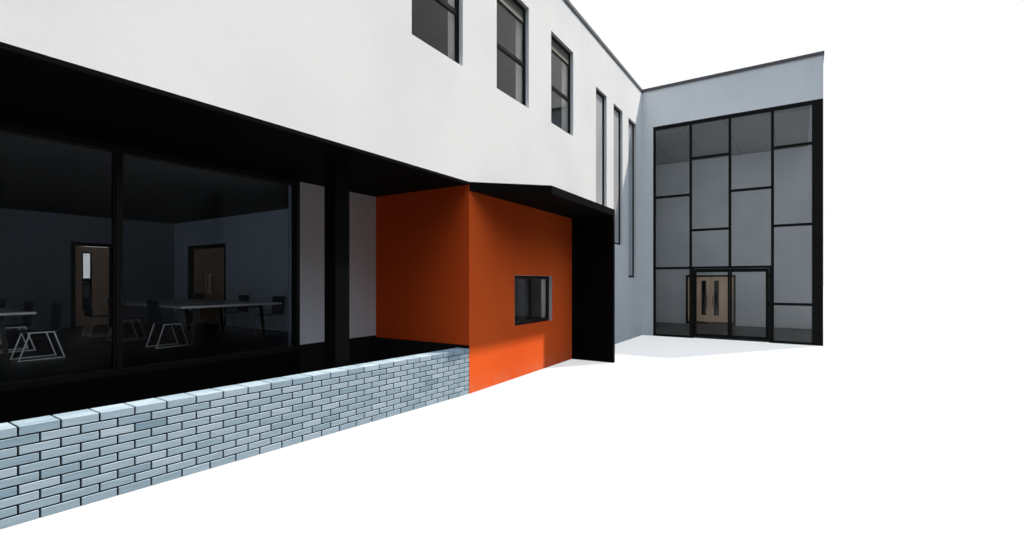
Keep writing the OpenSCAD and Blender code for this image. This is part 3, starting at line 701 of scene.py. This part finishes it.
def ringStrips(low, high, profile):
    # frames round flat boxes: profile points are (in from the box's edge, out of its face), carried
    # round the four corners on both faces of each box; the thin axis is the one to stand out along
    low, high = np.atleast_2d(low), np.atleast_2d(high)
    inward, outward = np.asarray(profile, float).T
    count, steps = len(low), len(inward)
    thin = np.argmin(high - low, axis=1)
    across = np.where(thin == 0, 1, 0)
    rows = np.arange(count)
    quarter = np.array([[0, 0], [1, 0], [1, 1], [0, 1]])
    inFlat, inTall = np.where(quarter == 1, -1, 1).T
    flat = low[rows, across][:, None] + quarter[:, 0] * (high - low)[rows, across][:, None]
    tall = low[:, 2][:, None] + quarter[:, 1] * (high - low)[:, 2][:, None]
    flatAll = flat[:, :, None] + inFlat[None, :, None] * inward
    points = np.zeros((count, 2, 4, steps, 3))
    points[..., 2] = (tall[:, :, None] + inTall[None, :, None] * inward)[:, None]
    for side, sign, face in ((0, -1, low[rows, thin]), (1, 1, high[rows, thin])):
        outAll = np.broadcast_to(face[:, None, None] + sign * outward, flatAll.shape)
        for axis in (0, 1):
            points[:, side, ..., axis] = np.where((across == axis)[:, None, None], flatAll, outAll)
    corner, step = np.meshgrid(np.arange(4), np.arange(steps), indexing="ij")
    nextCorner, nextStep = (corner + 1) % 4, (step + 1) % steps
    quads = np.stack([corner * steps + step, nextCorner * steps + step,
                      nextCorner * steps + nextStep, corner * steps + nextStep], axis=-1).reshape(-1, 4)
    # the low side of an X-thin box and the high side of a Y-thin box see the corners run the other way
    faces = []
    for side in (0, 1):
        these = quads[None] + (np.arange(count) * 2 + side)[:, None, None] * 4 * steps
        turned = (thin == 0) == (side == 0)
        faces.append(np.where(turned[:, None, None], these[..., ::-1], these).reshape(-1, 4))
    return points.reshape(-1, 3), faces


# Brick planter wall

def planterBrickwork():
    # two skins of stretchers laid to the wall's own slant: s runs along the wall, t through it.
    # A point is corner + s * along + t * inward, and every second course starts half a brick on
    look = brickLook
    low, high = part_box("planter_wall")
    points = meshPoints("planter_wall")
    rightEnd = points[points[:, 0] > high.x - look["endBand"]]
    leftEnd = points[points[:, 0] < low.x + look["endBand"]]
    corner = np.array([high.x, rightEnd[:, 1].min()])
    run = np.array([low.x, leftEnd[:, 1].min()]) - corner
    thickness = rightEnd[:, 1].max() - corner[1]
    length = np.hypot(*run)
    along = run / length
    bricks = round(length / look["pitch"])
    pitch = length / bricks
    course = (high.z - low.z) / look["courses"]
    skin = (thickness - look["joint"]) / 2
    grid = np.meshgrid(np.arange(look["courses"]), np.arange(bricks + 1), (0, 1), indexing="ij")
    rows, columns, skins = (numbers.ravel() for numbers in grid)
    start = (columns - (rows % 2) / 2) * pitch
    startCut = np.clip(start + look["joint"] / 2, 0, length)
    endCut = np.clip(start + pitch - look["joint"] / 2, 0, length)
    keep = endCut - startCut > look["shortest"]
    rows, skins, startCut, endCut = rows[keep], skins[keep], startCut[keep], endCut[keep]
    random = np.random.default_rng(look["seed"])
    wobble = random.uniform(0, look["wobble"], len(rows))
    lowT = skins * (skin + look["joint"]) + np.where(skins == 0, wobble, 0)
    highT = lowT + skin - wobble
    base = np.stack([startCut, lowT, low.z + rows * course + look["joint"] / 2], axis=1)
    top = np.stack([endCut, highT, low.z + (rows + 1) * course - look["joint"] / 2], axis=1)
    top[rows == look["courses"] - 1, 2] = high.z
    base[rows == 0, 2] = low.z

    def laid(shape):
        # from (s, t, Z) to the wall's place; t runs along Y, as the wall's ends do, and s towards -X,
        # so the faces are turned back
        points, groups = shape
        x = corner[0] + points[:, 0] * along[0]
        y = corner[1] + points[:, 0] * along[1] + points[:, 1]
        return np.stack([x, y, points[:, 2]], axis=1), [group[:, ::-1] for group in groups]

    piece = makePiece("planter_bricks", laid(cutBoxes(base, top, look["chamfer"])), "blue_brick")
    tone = np.clip(random.normal(*look["tone"], len(rows)), *look["toneLimits"])
    attribute = piece.data.attributes.new("tone", "FLOAT", "POINT")
    attribute.data.foreach_set("value", np.repeat(tone, len(cutSigns)))
    rake = look["rake"]
    core = cutBoxes([rake, rake, low.z], [length - rake, thickness - rake, high.z - rake],
                    look["coreChamfer"])
    makePiece("planter_mortar", laid(core), "brick_mortar")
    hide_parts("planter_wall")
    print("planter wall,", len(rows), "bricks")


planterBrickwork()


# Glazing beads

beadLook = {"width": 0.008, "height": 0.006, "slope": 0.002, "doorScale": 0.7}


def glazingBeads(name, glass, body="building", scale=1.0):
    # a mitred bead round every pane, on both faces, lower at the glass side
    width, height, slope = (beadLook[k] * scale for k in ("width", "height", "slope"))
    shape = ringStrips(*solidBoxes(glass), [(0, 0), (0, height), (width, height - slope), (width, 0)])
    makePiece(name, shape, "seal_rubber", body)


glazingBeads("dining_window_beads", "dining_window_glass")
glazingBeads("window_beads", "window_glass")
glazingBeads("curtain_wall_beads", "curtain_wall_glass")
for side in ("left", "right"):
    glazingBeads("entrance_" + side + "_beads", "entrance_glass_" + side, "entrance_" + side + "_leaf",
                 beadLook["doorScale"])
print("glazing beads made")


# Meeting rails of the upper windows' sashes

railLook = {"below": 0.030, "above": 0.040, "near": 0.0125, "far": 0.0290, "chamfer": 0.002,
            "paneFoot": (5.7, 5.9)}


def meetingRails():
    # a rail on each face of the window where its two lights meet, a little proud of the frame. The upper
    # lights have their foot within paneFoot
    look = railLook
    low, high = solidBoxes("window_glass")
    upper = (low[:, 2] > look["paneFoot"][0]) & (low[:, 2] < look["paneFoot"][1])
    low, high = low[upper], high[upper]
    rows = np.arange(len(low))
    thin = np.argmin(high - low, axis=1)
    middle = ((low + high) / 2)[rows, thin]
    low[:, 2], high[:, 2] = low[:, 2] - look["below"], low[:, 2] + look["above"]
    boxes = []
    for start, end in ((-look["far"], -look["near"]), (look["near"], look["far"])):
        near, far = low.copy(), high.copy()
        near[rows, thin], far[rows, thin] = middle + start, middle + end
        boxes.append((near, far))
    rails = cutBoxes(*np.concatenate(boxes, axis=1), look["chamfer"])
    makePiece("meeting_rails", rails, "black_frame")


meetingRails()
print("meeting rails made")


# Tubes

def tubeAlong(paths, radius, sides):
    # round tubes along planar paths, one ring at each path point: a ring's plane holds the path
    # plane's normal and the cross of that normal with the mean direction there; ends are capped.
    # paths has a path per row, points per column
    count, steps = paths.shape[:2]
    ways = unitWays(np.gradient(paths, axis=1))
    normal = unitWays(np.cross(paths[:, -1] - paths[:, 0], paths[:, steps // 3] - paths[:, 0]))
    normal = np.broadcast_to(normal[:, None], ways.shape)
    second = np.cross(ways, normal)
    angle = np.linspace(0, 2 * np.pi, sides, endpoint=False)
    points = (paths[:, :, None] + radius * (np.cos(angle)[:, None] * normal[:, :, None]
                                            + np.sin(angle)[:, None] * second[:, :, None]))
    ring, side = np.meshgrid(np.arange(steps - 1), np.arange(sides), indexing="ij")
    following = (side + 1) % sides
    quads = np.stack([ring * sides + side, ring * sides + following, (ring + 1) * sides + following,
                      (ring + 1) * sides + side], axis=-1).reshape(-1, 4)
    caps = np.stack([np.arange(sides)[::-1], (steps - 1) * sides + np.arange(sides)])
    start = np.arange(count)[:, None, None] * steps * sides
    return points.reshape(-1, 3), [(quads + start).reshape(-1, 4), (caps + start).reshape(-1, sides)]


def roundedPath(corners, radius, steps=5):
    # a path through its corners, each inner one cut back by the radius and turned by a quadratic
    # curve: p = (1-t)^2 a + 2t(1-t) corner + t^2 b
    before = corners[1:-1] + radius * unitWays(corners[:-2] - corners[1:-1])
    after = corners[1:-1] + radius * unitWays(corners[2:] - corners[1:-1])
    t = np.linspace(0, 1, steps)[None, :, None]
    bends = ((1 - t) ** 2 * before[:, None] + 2 * t * (1 - t) * corners[1:-1][:, None]
             + t ** 2 * after[:, None])
    return np.concatenate([corners[:1], bends.reshape(-1, 3), corners[-1:]])


def unitWays(ways):
    return ways / np.linalg.norm(ways, axis=-1, keepdims=True)


# Wooden leaves: vision glass with its beads or a flush panel, kick plates, and pulls or levers

leafLook = {
    "edgeBands": (0.08, 0.05), "paneThick": 0.010, "paneChamfer": 0.0005, "beadWidth": 0.012,
    "beadProud": 0.003, "beadTail": 0.002, "panelJoint": 0.0012, "kickHeight": 0.10, "kickThick": 0.0015,
    "kickInset": 0.003, "kickChamfer": 0.0004, "sides": 12, "pullRadius": 0.010, "pullOut": 0.062,
    "pullBend": 0.028, "pull": {"length": 0.42, "height": 0.91, "fromEdge": 0.100},
    "diningPull": {"length": 0.47, "height": 0.96, "fromEdge": 0.085}, "leverRadius": 0.009,
    "leverBend": 0.02, "leverLength": 0.125, "leverOut": 0.055, "leverHeight": 1.02, "leverFromEdge": 0.062,
    "roseRadius": 0.026, "roseThick": 0.009, "roseSides": 24, "roseNudge": 1e-7,
}


class Leaf:
    # a packed leaf's box without its knuckles, its slot's box, and the axes along and through the leaf.
    # edgeSign is 1 where the closing edge is the high one; points further in than edgeBands are the slot's
    def __init__(self, name, body, edgeSign):
        self.name, self.body, self.edgeSign = name, body, edgeSign
        points = meshPoints(name)
        low, high = points.min(axis=0), points.max(axis=0)
        along = int(np.argmax((high - low)[:2]))
        through = 1 - along
        first, last = leafLook["edgeBands"]
        inner = points[(points[:, along] > low[along] + first) & (points[:, along] < high[along] - last)]
        self.slotLow, self.slotHigh = inner.min(axis=0), inner.max(axis=0)
        low[through], high[through] = self.slotLow[through], self.slotHigh[through]
        self.low, self.high, self.along, self.through = low, high, along, through

    def make(self, ending, shape, finishName, smooth=False):
        makePiece(self.name + ending, shape, finishName, self.body, smooth)

    def onFaces(self, corners):
        # corners are (back from the leaf's edge, out of its face, up from its foot), on both faces
        corners = np.asarray(corners, float)
        edge = self.high[self.along] if self.edgeSign > 0 else self.low[self.along]
        placed = np.zeros((2, len(corners), 3))
        placed[:, :, self.along] = edge - self.edgeSign * corners[:, 0]
        placed[0, :, self.through] = self.low[self.through] - corners[:, 1]
        placed[1, :, self.through] = self.high[self.through] + corners[:, 1]
        placed[:, :, 2] = self.low[2] + corners[:, 2]
        return placed

    def tubes(self, ending, corners, radius, bend, finishName):
        paths = np.stack([roundedPath(side, bend) for side in self.onFaces(corners)])
        tubes = tubeAlong(paths, radius, leafLook["sides"])
        self.make(ending, tubes, finishName, smooth=True)

    def visionGlass(self):
        look = leafLook
        middle = (self.low[self.through] + self.high[self.through]) / 2
        half = look["paneThick"] / 2
        low, high = self.slotLow.copy(), self.slotHigh.copy()
        low[self.through], high[self.through] = middle - half, middle + half
        self.make("_vision_glass", cutBoxes(low, high, look["paneChamfer"]), "vision_glass")
        width, proud = look["beadWidth"], look["beadProud"]
        profile = [(-width, 0), (-width + proud, proud), (0, proud), (width, -width),
                   (width, -width - look["beadTail"]), (0, 0)]
        beads = ringStrips(self.slotLow, self.slotHigh, profile)
        self.make("_vision_beads", beads, "dark_lining")

    def flushPanel(self):
        panel = cutBoxes(self.slotLow, self.slotHigh, leafLook["panelJoint"])
        self.make("_flush_panel", panel, "door_veneer")

    def kickPlates(self):
        look = leafLook
        low, high = np.array([self.low, self.low]), np.array([self.high, self.high])
        low[:, self.along] += look["kickInset"]
        high[:, self.along] -= look["kickInset"]
        high[:, 2] = self.low[2] + look["kickHeight"]
        backFace, frontFace = self.low[self.through], self.high[self.through]
        low[:, self.through] = backFace - look["kickThick"], frontFace
        high[:, self.through] = backFace, frontFace + look["kickThick"]
        self.make("_kick_plates", cutBoxes(low, high, look["kickChamfer"]), "kick_plate")

    def pulls(self, kind, finishName):
        look = leafLook
        back, out = look[kind]["fromEdge"], look["pullOut"]
        foot = look[kind]["height"] - look[kind]["length"] / 2
        head = look[kind]["height"] + look[kind]["length"] / 2
        corners = [(back, 0, foot), (back, out, foot), (back, out, head), (back, 0, head)]
        self.tubes("_pulls", corners, look["pullRadius"], look["pullBend"], finishName)

    def levers(self, finishName):
        look = leafLook
        back, out, tall = look["leverFromEdge"], look["leverOut"], look["leverHeight"]
        corners = [(back, 0, tall), (back, out, tall), (back + look["leverLength"], out, tall)]
        self.tubes("_levers", corners, look["leverRadius"], look["leverBend"], finishName)
        # a rose's path is straight and so has no plane of its own: its middle is nudged to give it one
        thick = look["roseThick"]
        paths = self.onFaces([(back, 0, tall), (back, thick / 2, tall), (back, thick, tall)])
        paths[:, 1, 2] += look["roseNudge"]
        roses = tubeAlong(paths, look["roseRadius"], look["roseSides"])
        self.make("_roses", roses, finishName)


for side, edgeSign in (("left", -1), ("right", 1)):
    leaf = Leaf("lobby_door_" + side, "lobby_" + side + "_leaf", edgeSign)
    leaf.visionGlass()
    leaf.kickPlates()
    leaf.pulls("pull", "dark_pull")
for side, edgeSign in (("left", -1), ("right", 1)):
    leaf = Leaf("dining_door_" + side, "dining_" + side + "_leaf", edgeSign)
    leaf.flushPanel()
    leaf.pulls("diningPull", "brushed_steel")
leaf = Leaf("corridor_door", "corridor_leaf", -1)
leaf.visionGlass()
leaf.levers("brushed_steel")
print("inner doors dressed")


# Hatch window lining

liningLook = {"thick": 0.004, "chamfer": 0.0008, "hatchTop": 2.0}


def hatchLining():
    # thin boards on the opening's reveals: jambs and head outside the frame, all four sides inside it
    thick = liningLook["thick"]
    lows, highs = solidBoxes("front_window_frames")
    hatch = highs[:, 2] < liningLook["hatchTop"]
    low, high = lows[hatch][0], highs[hatch][0]
    wallLow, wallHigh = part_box("orange_front_wall")
    left, right, foot, head = low[0], high[0], low[2], high[2]
    boards = []
    for near, far in ((wallLow.y, low[1]), (high[1], wallHigh.y)):
        boards += [[(left, near, foot), (left + thick, far, head)],
                   [(right - thick, near, foot), (right, far, head)],
                   [(left + thick, near, head - thick), (right - thick, far, head)]]
    boards.append([(left + thick, high[1], foot), (right - thick, wallHigh.y, foot + thick)])
    boards = np.array(boards)
    lining = cutBoxes(boards[:, 0], boards[:, 1], liningLook["chamfer"])
    makePiece("hatch_lining", lining, "pale_lining")


hatchLining()


# Coping straps

strapLook = {"pitch": 3.0, "width": 0.10, "thick": 0.002}


def copingStraps(name):
    # a cover strip over each joint: a flat U of eight points carried a hand's width along the coping
    thick = strapLook["thick"]
    step = np.arange(8)
    side = np.stack([step, (step + 1) % 8, (step + 1) % 8 + 8, step + 8], axis=1)
    cap = np.array([[0, 1, 6, 7], [1, 2, 5, 6], [2, 3, 4, 5]])
    caps = np.concatenate([cap[:, ::-1], cap + 8])
    allPoints, quads, ends, start = [], [], [], 0
    for low, high in zip(*solidBoxes(name)):
        along = int(np.argmax((high - low)[:2]))
        across = 1 - along
        near, far, foot, head = low[across], high[across], low[2], high[2]
        count = int((high - low)[along] / strapLook["pitch"])
        middles = low[along] + (np.arange(count) + 1) * (high - low)[along] / (count + 1)
        section = np.array([[near - thick, foot], [near - thick, head + thick],
                            [far + thick, head + thick], [far + thick, foot],
                            [far, foot], [far, head], [near, head], [near, foot]])
        points = np.zeros((count, 2, 8, 3))
        points[..., across] = section[:, 0]
        points[..., 2] = section[:, 1]
        points[..., along] = (middles[:, None] + np.array([-0.5, 0.5]) * strapLook["width"])[:, :, None]
        base = start + 16 * np.arange(count)[:, None, None]
        turn = slice(None, None, -1 if along == 0 else 1)
        quads.append((side[None] + base)[..., turn].reshape(-1, 4))
        ends.append((caps[None] + base)[..., turn].reshape(-1, 4))
        allPoints.append(points.reshape(-1, 3))
        start += 16 * count
    shape = np.concatenate(allPoints), quads + ends
    makePiece(name + "_straps", shape, "coping_metal")


copingStraps("copings_along_wing")
copingStraps("copings_across_wing")
print("hatch lining and coping straps made")


# Camera at the photograph's station: level, wide, with the horizon a little below the middle

cameraLook = {"station": (-6.795, -7.930, 1.746), "turn": 31.587, "lens": 16.52, "sensor": 36.0,
              "horizonShift": 11 / 1024}


def makeCamera():
    data = bpy.data.cameras.new("view")
    data.lens = cameraLook["lens"]
    data.sensor_width = cameraLook["sensor"]
    data.shift_y = cameraLook["horizonShift"]
    camera = bpy.data.objects.new("view", data)
    bpy.context.scene.collection.objects.link(camera)
    camera.location = cameraLook["station"]
    camera.rotation_euler = (math.radians(90), 0, math.radians(cameraLook["turn"] - 90))
    bpy.context.scene.camera = camera


# Floor, sky and sun

studio = {
    "sunFrom": (0.78, -0.554, 1.45), "sunStrength": 5.9, "sunAngle": 1.6, "sunColour": (1.0, 0.90, 0.79),
    "skyColour": rgb(0.70, 0.84, 1.0), "skyLow": 0.10, "skyHigh": 2.75, "skyRise": (0.28, 0.92),
    "floorRough": 0.9, "floorBounce": 0.05, "floorView": 0.22, "floorLift": 0.60, "floorSize": 400.0,
}


def seenDirectly(shading):
    # 1 for rays from the camera, a mirror or through glass, 0 for the rays that carry bounced light
    camera, glossy, through = (shading.add("LightPath", output="Is " + kind + " Ray")
                               for kind in ("Camera", "Glossy", "Transmission"))
    return camera.largest(glossy).largest(through)


def makeSun():
    sun = bpy.data.lights.new("sun", "SUN")
    sun.energy = studio["sunStrength"]
    sun.angle = math.radians(studio["sunAngle"])
    sun.color = studio["sunColour"]
    lamp = bpy.data.objects.new("sun", sun)
    x, y, z = studio["sunFrom"]
    lamp.rotation_euler = (math.atan2(math.hypot(x, y), z), 0, math.atan2(y, x) + math.pi / 2)
    bpy.context.scene.collection.objects.link(lamp)


def makeFloor():
    # pale where it is seen, dark to bounced light, which would light the building from below
    half = studio["floorSize"] / 2
    mesh = bpy.data.meshes.new("floor")
    mesh.from_pydata([(-half, -half, 0), (half, -half, 0), (half, half, 0), (-half, half, 0)], [],
                     [(0, 1, 2, 3)])
    floor = bpy.data.objects.new("floor", mesh)
    bpy.context.scene.collection.objects.link(floor)
    finish = Finish("floor", Roughness=studio["floorRough"], Specular_IOR_Level=0.0, Emission_Strength=1.0)
    seen = seenDirectly(finish)
    finish.feed(Base_Color=finish.blend(seen, grey(studio["floorBounce"]), grey(studio["floorView"])),
                Emission_Color=finish.blend(seen, grey(0.0), grey(studio["floorLift"])))
    mesh.materials.append(finish.owner)


def makeSky():
    # a soft sky that brightens upwards lights the building, while a white backdrop is what is seen
    world = bpy.data.worlds.new("sky")
    bpy.context.scene.world = world
    sky = Shading(world)
    way = sky.add("SeparateXYZ", inputs={0: sky.add("TexCoord", output="Generated")}, output=2)
    low, high = studio["skyRise"]
    level = sky.ramp(way, low, high) * (studio["skyHigh"] - studio["skyLow"]) + studio["skyLow"]
    light = sky.add("Background", inputs={"Color": studio["skyColour"], "Strength": level})
    backdrop = sky.add("Background", inputs={"Color": grey(1.0), "Strength": 1.0})
    shown = sky.add("MixShader", inputs={0: seenDirectly(sky), 1: light, 2: backdrop})
    sky.add("OutputWorld", inputs={"Surface": shown}, output=None)


makeCamera()
bpy.context.scene.view_settings.view_transform = "Standard"
makeSun()
makeFloor()
makeSky()
print("camera, floor and light made")
